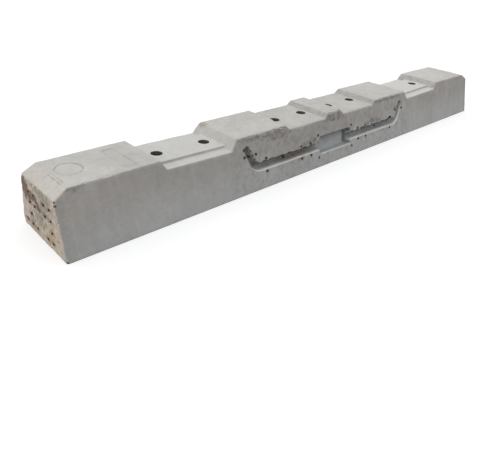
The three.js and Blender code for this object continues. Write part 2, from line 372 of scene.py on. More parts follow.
def worn_skin(body, wear):
    """The closed outer surface: at each station a section with battered sides, eased edges and,
    at the rail seats, a step down to the ledges. Each point then goes inwards along its normal by
    the mould's waviness, by wear that fades away from an edge, and by chips where a coarser noise
    is high. The underside stays flat."""
    line, ledge_line = crest_line(body), crest_line(body, body.ledge_drop)
    along = stations(body, (line, ledge_line))
    middle = np.interp(along, *line.T)
    beside = np.interp(along, *ledge_line.T)
    lean, step, lean_in = batter(body), body.plateau_half, 0.0015
    half_widths = (
        (np.full_like(along, body.half_base), np.zeros_like(along)),
        (body.half_base - lean * beside, beside),
        (np.full_like(along, step + lean_in), beside),
        (np.full_like(along, step - lean_in), middle),
    )
    # The corners run from the near and the far foot to the far top edge, the far step's foot and
    # head, the near step's head and foot, and the near top edge.
    far = [np.stack(pair, -1) for pair in half_widths]
    near = [pair * (-1, 1) for pair in far]
    corners = np.stack([near[0], *far, *near[:0:-1]], axis=1)
    trail = np.stack((along, np.zeros_like(along), np.zeros_like(along)), -1)
    top_radius = body.edge_radius * (0.7 + 0.9 * lattice_noise(trail, 0.06, 3))
    radii = np.empty(corners.shape[:2])
    radii[:] = (body.foot_radius, body.foot_radius, 0, 0.003, 0.003, 0.003, 0.003, 0)
    radii[:, 2] = top_radius
    # The near top edge is rubbed rounder within 630 mm of the middle.
    radii[:, 7] = top_radius[::-1] * (1 + 0.9 * ramp(0.63 - np.abs(along), 0, 0.03))
    counts = (5, 17, 4, 1, 18, 1, 4, 28)
    outline = eased_outline(corners, radii, counts, 3)
    skin = np.concatenate((np.broadcast_to(along[:, None, None], (*outline.shape[:2], 1)),
                           outline), axis=-1)

    around = np.roll(skin, -1, axis=1) - np.roll(skin, 1, axis=1)
    normal = np.cross(around, np.gradient(skin, axis=0))
    normal /= np.linalg.norm(normal, axis=-1, keepdims=True)
    outside = np.sign((normal[:, :, 2] * (skin[:, :, 2] - 0.1)).mean())
    normal *= outside

    lengths = np.linalg.norm(np.roll(skin, -1, axis=1) - skin, axis=-1)
    arc = np.cumsum(lengths, axis=1) - lengths
    starts = np.cumsum([0] + [4 + count for count in counts[:-1]]) + 1
    edges = [np.abs(arc - arc[:, [starts[corner]]]) for corner in (2, 7)]
    crests = np.abs(line[:, 0])[np.abs(line[:, 1] - body.block_height) < 0.002]
    crest = np.abs(np.abs(along)[:, None] - crests).min(1)[:, None]
    on_top = normal[:, :, 2] > 0.5
    edge = np.minimum(*edges)
    edge = np.minimum(edge, np.where(on_top, crest, 1))
    edge = np.minimum(edge, (body.half_length - np.abs(along))[:, None])

    inwards = wear.waviness * (0.6 * lattice_noise(skin, 0.13, 1)
                               + 0.4 * lattice_noise(skin, 0.04, 2))
    rub = np.exp(-(edge / 0.0045) ** 2)
    inwards += rub * wear.edge_wear * (0.15 + 1.6 * lattice_noise(skin, 0.017, 4) ** 2)
    chip = ramp(lattice_noise(skin, 0.030, 5), 0.76, 0.92)
    inwards += chip * np.exp(-(edge / 0.007) ** 2) * wear.chip_depth
    inwards *= ramp(normal[:, :, 2], -0.7, -0.3)
    return closed_tube(skin - normal * inwards[..., None])


# ---------------------------------------------------------------- what is cut away

def face_frame(body):
    """Foot of the near side, the direction up it and the direction out of it."""
    lean = math.atan(batter(body))
    up = np.array((0, math.sin(lean), math.cos(lean)))
    out = np.array((0, -math.cos(lean), math.sin(lean)))
    return np.array((0, -body.half_base, 0)), up, out


def turned_profile(profile, facets, centre, axis):
    """The rings of a solid of revolution round a line along X, Y or Z, 0, 1 or 2: each (radius,
    place) of the profile gives centre + radius (side cos a + other sin a) + place along."""
    along = np.eye(3)[axis]
    side, other = np.delete(np.eye(3), axis, axis=0)
    angle = np.linspace(0, 2 * math.pi, facets, endpoint=False)
    spoke = np.cos(angle)[:, None] * side + np.sin(angle)[:, None] * other
    return centre + profile[:, :1, None] * spoke + profile[:, 1:, None] * along


def bolt_holes(body, cuts):
    """Eight straight holes, each with a rim rounded by a quarter turn at both ends and sheared
    to the cant of its seat."""
    solids = []
    easing, radius = cuts.bolt_easing, cuts.bolt_radius
    turn = np.linspace(0, math.pi / 2, 5)
    flare = np.stack((radius + easing * (1 - np.cos(turn)), easing * (np.sin(turn) - 1)), -1)
    for side, end in itertools.product((-1, 1), (-0.5, 0.5)):
        places = (
            (body.rail_seat + end * cuts.rail_bolt_gap, body.rail_seat_cant, True),
            (body.guard_seat + end * cuts.guard_bolt_gap, 0, False),
        )
        for place, cant, on_rail_seat in places:
            top = plateau_height(body, place) if on_rail_seat else body.guard_seat_height
            head = flare + (0, top - 0.0004)
            foot = (flare * (1, -1))[::-1] + (0, 0.0002)
            profile = np.concatenate(([(flare[-1, 0], -CUT_MARGIN)], foot, head,
                                      [(flare[-1, 0], top + 0.03)]))
            rings = turned_profile(profile, 48, (side * place, 0, 0), 2)
            upper = rings[..., 2] > top / 2
            rings[..., 2] += side * cant * (rings[..., 0] - side * place) * upper
            solids.append(closed_tube(rings))
    return joined(solids)


def groove_middle(body, cuts):
    """The groove's middle line as a function of distance: a straight riser, an arc, a level run,
    an arc and a riser. Returns the function, the line's length and the riser's length."""
    slope = math.cos(math.atan(batter(body)))
    low, high = cuts.groove_height / slope, cuts.riser_height / slope
    turn, radius = cuts.elbow_angle, cuts.elbow_radius
    rise = high - low - radius * (1 - math.cos(turn))
    riser = rise / math.sin(turn)
    length = cuts.groove_run + radius * turn + riser

    def middle(distance):
        """Place along and up the side, and heading, at a distance from the middle."""
        reach, sense = np.abs(distance), np.sign(distance)
        bend = np.clip((reach - cuts.groove_run) / radius, 0, turn)
        beyond = np.maximum(reach - cuts.groove_run - radius * turn, 0)
        x = np.minimum(reach, cuts.groove_run) + radius * np.sin(bend) + beyond * math.cos(turn)
        y = low + radius * (1 - np.cos(bend)) + beyond * math.sin(turn)
        place = np.stack((sense * x, y), -1)
        heading = np.stack((np.cos(bend), sense * np.sin(bend)), -1)
        return place, heading

    return middle, length, riser


def cable_groove(body, cuts):
    """A half-elliptic trough carried along its middle line, the lower lip of its level run well
    rounded and its upper one broken by noise. It narrows over each elbow to the riser's width and
    closes as a quarter turn at the tip. Its wall is roughened by noise."""
    middle, length, riser = groove_middle(body, cuts)
    reach = length - riser
    marks = np.concatenate((np.linspace(0, cuts.groove_run, 112),
                            np.linspace(cuts.groove_run, reach, 14)[1:],
                            reach + np.linspace(0, riser, 15)[1:],
                            length + cuts.riser_half * np.sin(np.linspace(0, 1.5, 7))[1:]))
    distance = np.concatenate((-marks[:0:-1], marks))
    past = np.clip((np.abs(distance) - length) / cuts.riser_half, 0, 1)
    close = np.sqrt(1 - past ** 2)
    narrow = np.clip((np.abs(distance) - cuts.groove_run) / (reach - cuts.groove_run), 0, 1)
    width = (cuts.groove_half + (cuts.riser_half - cuts.groove_half) * narrow) * close
    depth = cuts.groove_depth * close * (1 - 0.08 * narrow)

    turn = math.pi / 2 * np.sin(np.linspace(-math.pi / 2, math.pi / 2, 31))
    across, down = np.sin(turn), np.cos(turn)
    outer = cuts.lower_lip + (cuts.lip - cuts.lower_lip) * narrow[:, None] ** 3
    lip = np.where(across < 0, outer, cuts.lip)
    rounding = np.sign(across) * np.exp(-(down * cuts.groove_depth / lip) ** 2) - across
    side = width[:, None] * across + close[:, None] * lip * rounding
    drop = -depth[:, None] * down
    out = np.full((len(distance), 1), 0.012)
    side = np.concatenate((side[:, :1], side, side[:, -1:]), axis=1)
    drop = np.concatenate((out, drop, out), axis=1)

    place, heading = middle(np.clip(distance, -length, length))
    place = place + heading * (distance - np.clip(distance, -length, length))[:, None]
    square = np.stack((-heading[:, 1], heading[:, 0]), -1)
    flat = place[:, None] + square[:, None] * side[..., None]
    foot, up, outwards = face_frame(body)
    points = foot + flat[..., :1] * (1, 0, 0) + flat[..., 1:] * up + drop[..., None] * outwards
    coarse, fine = lattice_noise(points, 0.030, 11) - 0.5, lattice_noise(points, 0.009, 12) - 0.5
    inside = ramp(-drop, 0, 0.004)
    points += (0.0022 * coarse + 0.0016 * fine)[..., None] * outwards * inside[..., None]
    broken = ramp(lattice_noise(points * (1, 0, 0), 0.014, 13), 0.45, 0.75)
    raised = ramp(side, 0.008, 0.017) * (0.0034 * coarse + 0.0040 * fine + 0.0040 * broken)
    points += raised[..., None] * up
    return closed_tube(points)


def capacitor_pocket(body, cuts):
    """A rounded rectangle carried straight in: flared at the rim, rounded into the floor, and
    drawn together to the middle of the floor. Each (inset, depth) of the profile is a ring."""
    slope = math.cos(math.atan(batter(body)))
    low, high, half = cuts.pocket_low / slope, cuts.pocket_high / slope, cuts.pocket_half
    corners = np.array([[(-half, low), (half, low), (half, high), (-half, high)]])
    turn = np.linspace(0, math.pi / 2, 5)
    rim = cuts.lip * np.stack((np.sin(turn[::-1]), np.cos(turn[::-1])), -1) * (-1, -1)
    floor = cuts.pocket_floor * np.stack((1 - np.cos(turn), -np.sin(turn)), -1)
    floor += (0, cuts.pocket_floor - cuts.pocket_depth)
    wall = np.stack((np.zeros(6), np.linspace(rim[-1, 1], floor[0, 1], 8)[1:-1]), -1)
    profile = np.concatenate(([(-cuts.lip, 0.012)], rim, wall, floor))
    middle = np.array((0, (low + high) / 2))
    counts, inset = (28, 9, 28, 9), 0.008
    outlines, inner = (
        eased_outline(corners + shift * np.array([[(1, 1), (-1, 1), (-1, -1), (1, -1)]]),
                      np.array([[cuts.pocket_corner - shift] * 4]), counts, 6)[0]
        for shift in (0, inset))
    rings = outlines + profile[:, :1, None] * (inner - outlines) / inset
    shrink = np.array((0.86, 0.66, 0.44, 0.22, 0.03))
    lid = middle + (rings[-1] - middle) * shrink[:, None, None]
    flat = np.concatenate((rings, lid))
    drop = np.concatenate((profile[:, 1], np.full(len(shrink), profile[-1, 1])))
    foot, up, outwards = face_frame(body)
    points = foot + flat[..., :1] * (1, 0, 0) + flat[..., 1:] * up
    points = points + drop[:, None, None] * outwards
    rough = 0.0030 * (lattice_noise(points, 0.035, 14) - 0.5)
    rough += 0.0016 * (lattice_noise(points, 0.012, 15) - 0.5)
    points += (rough * ramp(-drop, 0, 0.006)[:, None])[..., None] * outwards
    return closed_tube(points)


def clip_hole_places(body, cuts):
    """Along and height of every clip hole."""
    middle, length, _ = groove_middle(body, cuts)
    slope = math.cos(math.atan(batter(body)))
    low, high = cuts.groove_height / slope, cuts.riser_height / slope
    share = (cuts.riser_clip_height / slope - low) / (high - low)
    start, tip = cuts.groove_run + cuts.elbow_radius / 2, middle(np.array(length))[0][0]
    riser_place = start + (tip - start) * share
    half = list(POCKET_CLIPS)
    for place in GROOVE_CLIPS:
        half += [(place, cuts.groove_height + side * cuts.clip_offset) for side in (-1, 1)]
    half += [(riser_place + side * cuts.riser_clip_offset, cuts.riser_clip_height)
             for side in (-1, 1)]
    return [(side * place, height) for side in (-1, 1) for place, height in half]


def clip_holes(body, cuts):
    """Level blind holes in the near side with a broken mouth: a straight hole that flares by a
    different amount each, with a slightly uneven outline."""
    solids = []
    for index, (place, height) in enumerate(clip_hole_places(body, cuts)):
        mouth = body.half_base - batter(body) * height
        flare = 0.0018 + 0.0014 * ((index * 7) % 5) / 4
        radius = cuts.clip_radius
        profile = np.array([(radius * 0.55, cuts.clip_depth),
                            (radius * 0.9, cuts.clip_depth - 0.002),
                            (radius, cuts.clip_depth - 0.006), (radius, 0.007),
                            (radius + 0.6 * flare, 0.0040), (radius + flare, 0.0002),
                            (radius + flare, -0.010)])
        rings = turned_profile(profile, 16, (place, -mouth, height), 1)
        rings = rings + 0.0009 * (lattice_noise(rings, 0.004, index)[..., None] - 0.5) * (1, 0, 1)
        solids.append(closed_tube(rings))
    return joined(solids)


def wire_middle(name):
    """Across and height of a wire's middle line."""
    low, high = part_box(name)
    return (low.y + high.y) / 2, (low.z + high.z) / 2


def wire_bores():
    """A straight twelve-sided hole round each wire, a little wider than it."""
    solids = []
    for name in WIRES:
        low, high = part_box(name)
        radius = (high.z - low.z) / 2 + WIRE_CLEARANCE
        profile = np.array([(radius, low.x - CUT_MARGIN), (radius, high.x + CUT_MARGIN)])
        solids.append(closed_tube(turned_profile(profile, 12, (0, *wire_middle(name)), 0)))
    return joined(solids)


def end_breaks(body, wear, side):
    """The slab of concrete broken away beyond an end face. Its depth, over a grid across and up,
    is noise at three scales, more at the outline's arris, and a pit round each wire."""
    across, up = np.meshgrid(np.linspace(-0.176, 0.176, 101), np.linspace(-0.012, 0.212, 65),
                             indexing="ij")
    flat = np.stack((np.full_like(across, side * 0.3), across, up), -1)
    depth = 0.0004 + wear.end_roughness * (
        0.55 * lattice_noise(flat, 0.060, 21) + 0.35 * lattice_noise(flat, 0.016, 22)
        + 0.30 * lattice_noise(flat, 0.007, 23))
    inset = np.minimum(body.half_base - batter(body) * up - np.abs(across),
                       np.minimum(up, body.block_height - body.chamfer_drop - 0.004 - up))
    arris = np.exp(-(np.maximum(inset, 0) / 0.005) ** 2)
    depth += arris * 0.0032 * lattice_noise(flat, 0.012, 24) ** 1.5
    for name in WIRES:
        wire_across, wire_up = wire_middle(name)
        away = np.hypot(across - wire_across, up - wire_up)
        depth += 0.0026 * np.exp(-(away / 0.0052) ** 2) * (0.5 + lattice_noise(flat, 0.008, 25))
    front = np.stack((side * (body.half_length - depth), across, up), -1)
    back = np.stack((np.full_like(across, side * (body.half_length + CUT_MARGIN)), across, up), -1)
    rows, columns = across.shape
    count = rows * columns
    face = grid_faces(rows, columns, False)
    grid = np.arange(count).reshape(rows, columns)
    loop = np.concatenate((grid[:-1, 0], grid[-1, :-1], grid[:0:-1, -1], grid[0, :0:-1]))
    ahead = np.roll(loop, -1)
    walls = np.stack((loop, ahead, ahead + count, loop + count), -1)
    faces = np.concatenate((face, face[:, ::-1] + count, walls))
    return np.concatenate((front.reshape(-1, 3), back.reshape(-1, 3))), faces.tolist()


def lump(centre, radii, seed, rows=12, columns=18, roughness=0.25):
    """A closed, uneven ellipsoid: radii times a unit sphere, swollen or pinched by noise."""
    rise = np.linspace(0.04, math.pi - 0.04, rows)[:, None]
    turn = np.linspace(0, 2 * math.pi, columns, endpoint=False)
    unit = np.stack((np.sin(rise) * np.cos(turn), np.sin(rise) * np.sin(turn),
                     np.broadcast_to(np.cos(rise), (rows, columns))), -1)
    swell = 1 + roughness * 2 * (lattice_noise(unit, 0.6, seed) - 0.5)
    swell += roughness * (lattice_noise(unit, 0.25, seed + 1) - 0.5)
    return closed_tube(np.array(centre) + unit * radii * swell[..., None])


def side_lumps(body, seed, places, rows=12, columns=18):
    """Uneven balls on the near side, each at a place along, a height and a depth square to the
    side, with its three half sizes."""
    foot, up, outwards = face_frame(body)
    slope = math.cos(math.atan(batter(body)))
    return [lump(foot + up * (height / slope) - outwards * depth + np.array((x, 0, 0)), radii,
                 seed + index, rows, columns)
            for index, (x, height, depth, *radii) in enumerate(places)]


def broken_corners(body):
    """The far bottom corner of the left end, and small losses down its near edge."""
    end = -body.half_length
    near = ((0.150, 0.005, 0.008), (0.128, 0.006, 0.010), (0.096, 0.004, 0.007),
            (0.066, 0.005, 0.009), (0.038, 0.004, 0.007))
    return joined([
        lump((end - 0.004, 0.171, -0.001), (0.021, 0.026, 0.030), 31),
        *side_lumps(body, 110, [(end, z, 0, reach, reach, tall) for z, reach, tall in near],
                    rows=9, columns=12)])


def end_notches(body):
    """Small, deep losses at the near edge of the left end, dark with painted shade: under the
    chamfer's corner, a little lower, and at the foot."""
    end = -body.half_length
    places = (
        (end, 0.1935, 0, 0.008, 0.004, 0.0034), (end + 0.001, 0.1810, 0, 0.007, 0.006, 0.0044),
        (end, 0.1705, 0, 0.003, 0.003, 0.0024), (end, 0.0020, 0, 0.010, 0.008, 0.008))
    return joined(side_lumps(body, 33, places, rows=10, columns=14))


def edge_chips(body):
    """Flakes lost from the near long edge: each has its place along the edge, its height, its half
    length and its half height."""
    places = ((-1.196, 0.2240, 0.010, 0.0036), (-0.520, 0.2200, 0.014, 0.0036),
              (-0.392, 0.2190, 0.014, 0.0040), (-0.345, 0.2195, 0.012, 0.0042),
              (-0.030, 0.2230, 0.012, 0.0048), (0.036, 0.2230, 0.010, 0.0050),
              (0.372, 0.2240, 0.018, 0.0055), (0.470, 0.2240, 0.014, 0.0055),
              (1.010, 0.2250, 0.012, 0.0045))
    return joined(side_lumps(body, 80, [(x, z, 0, reach, tall * 0.9, tall)
                                        for x, z, reach, tall in places]))


def side_voids(body):
    """Larger air voids high up on the near side: place along, height and radius."""
    places = ((-0.383, 0.2090, 0.0020), (-0.373, 0.2030, 0.0018), (-0.352, 0.1830, 0.0024),
              (-0.336, 0.2100, 0.0020), (-0.080, 0.1930, 0.0022), (-0.141, 0.0730, 0.0020),
              (-0.239, 0.0660, 0.0024), (0.470, 0.1540, 0.0024), (0.492, 0.1480, 0.0034),
              (0.505, 0.1560, 0.0026))
    return joined(side_lumps(body, 90, [(x, z, 0, radius * 1.3, radius, radius)
                                        for x, z, radius in places], rows=8, columns=12))


def crumbled_riser(body):
    """Shallow scoops, dark with painted shade, where concrete has crumbled away round the left
    riser's tip and down its inner edge: place along, height and radius."""
    places = ((-0.5545, 0.1750, 0.0085), (-0.5420, 0.1805, 0.0075), (-0.5275, 0.1650, 0.0065),
              (-0.5190, 0.1440, 0.0075), (-0.5090, 0.1265, 0.0060))
    return joined(side_lumps(body, 130, [(x, z, 0.001, radius * 1.2, radius * 0.6, radius)
                                         for x, z, radius in places]))


def groove_voids(body):
    """Larger voids left in the groove's wall and along its upper edge: place along, height, depth
    and radius."""
    places = ((-0.317, 0.0892, 0.031, 0.0078), (-0.514, 0.1420, 0.028, 0.0088),
              (-0.534, 0.1560, 0.020, 0.0060), (0.357, 0.0905, 0.031, 0.0060),
              (-0.262, 0.086, 0.026, 0.0040), (0.402, 0.088, 0.028, 0.0035),
              (-0.418, 0.083, 0.027, 0.0030), (0.291, 0.112, 0.009, 0.0090),
              (0.215, 0.114, 0.006, 0.0070), (0.168, 0.115, 0.006, 0.0080),
              (0.126, 0.113, 0.010, 0.0090), (-0.192, 0.110, 0.012, 0.0080),
              (-0.160, 0.112, 0.010, 0.0070), (0.437, 0.112, 0.006, 0.0085),
              (0.456, 0.116, 0.006, 0.0075), (0.564, 0.1755, 0.018, 0.0095))
    return joined(side_lumps(body, 60, [(x, z, depth, radius * 1.15, radius * 1.3, radius)
                                        for x, z, depth, radius in places]))


def plain_tablets(body):
    """Two shallow plain sinkings in the left block's top, a round one and a rounded rectangle:
    each is an outline drawn in by a millimetre as it goes down, with an uneven floor."""
    angle = np.linspace(0, 2 * math.pi, 72, endpoint=False)
    disc = np.stack((np.cos(angle), np.sin(angle)), -1)
    bar = np.sign(disc) * np.abs(disc) ** 0.22
    solids = []
    for outline, centre, size in ((disc, (-1.188, 0.012), (0.037, 0.043)),
                                  (bar, (-1.022, -0.006), (0.022, 0.078))):
        profile = np.array(((0.0035, 0.006), (0.0012, 0.0), (0.0, -0.0013), (-0.0006, -0.0018)))
        sizes = np.array(size) + profile[:, :1]
        rings = np.array(centre) + outline * sizes[:, None]
        heights = np.broadcast_to(body.block_height + profile[:, 1:], rings.shape[:2])
        rings = np.concatenate((rings, heights[..., None]), axis=-1)
        solids.append(closed_tube(rings))
    return joined(solids)


def air_voids(body, cuts, wear):
    """Shallow dents left by air against the mould: a flattened ball at a jittered place in some
    of the cells of a grid on each side and on the top, none near another cut."""
    random = np.random.default_rng(7)
    solids = []
    lean = batter(body)
    for side in (-1, 1):
        columns, rows = np.meshgrid(np.arange(-62, 63), np.arange(1, 10))
        along = (columns + random.uniform(-0.3, 0.3, columns.shape)) * 0.0205
        height = (rows + random.uniform(-0.3, 0.3, rows.shape)) * 0.0195
        chance = random.uniform(0, 1, columns.shape)
        chosen = chance < 0.035 + (0.10 if side < 0 else 0.06) * (np.abs(along) < 0.60)
        clear = np.abs(along) < body.half_length - 0.02
        if side < 0:
            level = np.abs(height - cuts.groove_height) > 0.034
            clear &= (level & (np.abs(along) < 0.49)) | (np.abs(along) > 0.60)
            clear &= (np.abs(along) > 0.135) | (height > 0.155) | (height < 0.032)
            for place, hole in clip_hole_places(body, cuts):
                clear &= np.hypot(along - place, height - hole) > 0.013
        size = wear.air_void * random.uniform(0.35, 1.0, columns.shape) ** 1.5
        for x, z, radius in zip(along[chosen & clear], height[chosen & clear],
                                size[chosen & clear]):
            across = side * (body.half_base - lean * z)
            solids.append(lump((x, across, z), (radius * 1.2, radius * 0.7, radius), 40,
                               rows=6, columns=8, roughness=0.12))
    return joined(solids)


# ---------------------------------------------------------------- finishes

def connect(node, inputs):
    """Sets a node's inputs, given in order or by name, to values, or links them to sockets."""
    for name, value in inputs.items() if isinstance(inputs, dict) else enumerate(inputs):
        if isinstance(value, bpy.types.NodeSocket):
            node.id_data.links.new(value, node.inputs[name])
        else:
            node.inputs[name].default_value = value


def add_node(tree, kind, inputs=(), **settings):
    """Adds a node of a kind with its inputs and its own settings, and returns its outputs."""
    node = tree.nodes.new("ShaderNode" + kind)
    for name, value in settings.items():
        setattr(node, name, value)
    connect(node, inputs)
    return node.outputs


def new_material(name):
    """An empty material, the function that adds a node to it, and its object coordinates."""
    material = bpy.data.materials.new(name)
    material.use_nodes = True
    add = functools.partial(add_node, material.node_tree)
    return material, add, add("TexCoord")["Object"]


def finished(material, inputs, height=None, depth=0.0, strength=1.0):
    """The material, its shader given these inputs and the relief of a height from 0 to 1 that is
    so many metres deep."""
    tree = material.node_tree
    if height is not None:
        relief = {"Height": height, "Distance": depth, "Strength": strength}
        inputs = {**inputs, "Normal": add_node(tree, "Bump", relief)[0]}
    connect(tree.nodes["Principled BSDF"], inputs)
    return material


def place_and_facing(add, place):
    """The coordinates of a place and the direction in which its skin faces."""
    normal = add("NewGeometry")["Normal"]
    return add("SeparateXYZ", (place,)), add("SeparateXYZ", (normal,))


def layered(add, skin, layers):
    """A skin's colour with layers laid over it: each has the way it blends, its colour, and shares
    from 0 to 1 whose product says how much of it shows."""
    for blend, colour, share, *others in layers:
        for other in others:
            share = add("Math", (share, other), operation="MULTIPLY")[0]
        under, over = (part if isinstance(part, bpy.types.NodeSocket) else (*part, 1)
                       for part in (skin, colour))
        skin = add("Mix", {0: share, 6: under, 7: over}, data_type="RGBA", blend_type=blend)[2]
    return skin


def narrowed(add, share, spans):
    """A share times how far, 0 to 1, each value has come through its span, given as the value,
    the span's start and end and, where they aren't 0 and 1, the results at both."""
    for span in spans:
        passed = add("MapRange", span)[0]
        share = add("Math", (share, passed), operation="MULTIPLY")[0]
    return share


def off_line(add, value, middle):
    """How far a value is from a middle value, on either side."""
    off = add("Math", (value, middle), operation="SUBTRACT")[0]
    return add("Math", (off,), operation="ABSOLUTE")[0]


def depth_in_side(add, body, place):
    """How far in from the near side a place is: its distance level from the battered face."""
    _, y, z = add("SeparateXYZ", (place,))
    face = add("Math", (z, -batter(body), body.half_base), operation="MULTIPLY_ADD")[0]
    return add("Math", (face, y), operation="ADD")[0]


def stained(add, place, uneven, spots):
    """How much of a stain lies at a place, 0 to 1: the most of several soft ellipsoids, each with
    its centre and three half sizes in metres, with outlines that the uneven value pushes about."""
    most = None
    for *centre, along, across, up in spots:
        scale = (1 / along, 1 / across, 1 / up)
        shift = [-part * factor for part, factor in zip(centre, scale)]
        local = add("Mapping", {"Vector": place, "Location": shift, "Scale": scale})[0]
        away = add("VectorMath", (local,), operation="LENGTH")["Value"]
        away = add("Math", (uneven, 2.2, away), operation="MULTIPLY_ADD")[0]
        spot = add("MapRange", (away, 2.45, 1.75), interpolation_type="SMOOTHSTEP")[0]
        most = spot if most is None else add("Math", (most, spot), operation="MAXIMUM")[0]
    return most


def scored_marks(add, place):
    """Where the left block's top has a crease, 0 to 1: round the two plain sinkings, and along
    two fine lines that the mould's end plate left beside the chamfer."""
    x, y, _ = add("SeparateXYZ", (place,))
    marks = []
    # The last value of each mark is how dark its painted shade and dirt are.
    for middle, half, is_round, dirt_and_shade in (((-1.190, 0.004), (0.0425, 0.0465), True, 0.9),
                                         ((-1.022, -0.006), (0.0232, 0.0792), False, 0.3)):
        scale = (1 / half[0], 1 / half[1], 0)
        shift = (-middle[0] * scale[0], -middle[1] * scale[1], 0)
        local = add("Mapping", {"Vector": place, "Location": shift, "Scale": scale})[0]
        if is_round:
            away = add("VectorMath", (local,), operation="LENGTH")["Value"]
        else:
            size = add("VectorMath", (local,), operation="ABSOLUTE")[0]
            along, across, _ = add("SeparateXYZ", (size,))
            away = add("Math", (along, across, 0.1), operation="SMOOTH_MAX")[0]
        off = off_line(add, away, 1)
        marks.append(add("MapRange", (off, 0.004 / half[0], 0, 0, dirt_and_shade),
                         interpolation_type="SMOOTHSTEP")[0])
    for line, low, high in ((-1.2545, -0.100, 0.004), (-1.2448, -0.076, 0.010)):
        mark = add("MapRange", (off_line(add, x, line), 0.0026, 0.0008, 0, 0.7))[0]
        marks.append(narrowed(add, mark, ((y, low - 0.006, low), (y, high + 0.006, high))))
    most = marks.pop(0)
    for mark in marks:
        most = add("Math", (most, mark), operation="MAXIMUM")[0]
    return most


def pinholes(add, place):
    """The pinholes at a place, 0 to 1: one ball in some 11 mm cells, up to 1.6 mm across."""
    cells = add("TexVoronoi", {"Vector": place, "Scale": 1 / 0.011})
    chance = add("SeparateColor", (cells["Color"],))["Red"]
    size = add("MapRange", (chance, 0.72, 1, 0, 0.085))[0]
    hole = add("Math", (size, cells["Distance"]), operation="SUBTRACT")[0]
    return add("MapRange", (hole, 0, 0.03))[0]


def side_stains(add, place, mottle):
    """The sides' grime, under the middle block's edge, beside a riser and at the left end's top
    edge, where it is also painted shade of a broken arris; their rust and a paler patch, each 0 to
    1.
    The 20 mm blotches make their outlines wander."""
    uneven = add("Math", (1, mottle), operation="SUBTRACT")[0]
    grime = (
        (0.000, -0.118, 0.210, 0.070, 0.03, 0.026), (0.505, -0.130, 0.149, 0.022, 0.03, 0.014),
        # These two spots paint a broken arris's shade as well as its grime.
        (-1.232, -0.115, 0.221, 0.030, 0.02, 0.012), (-1.226, -0.115, 0.221, 0.026, 0.02, 0.010),
        (-0.370, -0.118, 0.202, 0.080, 0.03, 0.022), (-0.520, -0.118, 0.212, 0.080, 0.03, 0.012),
        (0.400, -0.118, 0.216, 0.110, 0.03, 0.010), (0.300, -0.130, 0.124, 0.060, 0.03, 0.014),
        (-0.180, -0.130, 0.122, 0.060, 0.03, 0.012))
    rust = ((-0.241, -0.150, 0.071, 0.020, 0.03, 0.012), (-0.588, 0.100, 0.224, 0.016, 0.03, 0.02))
    pale = ((0.588, -0.132, 0.145, 0.018, 0.03, 0.030),)
    return [stained(add, place, uneven, spots) for spots in (grime, rust, pale)]


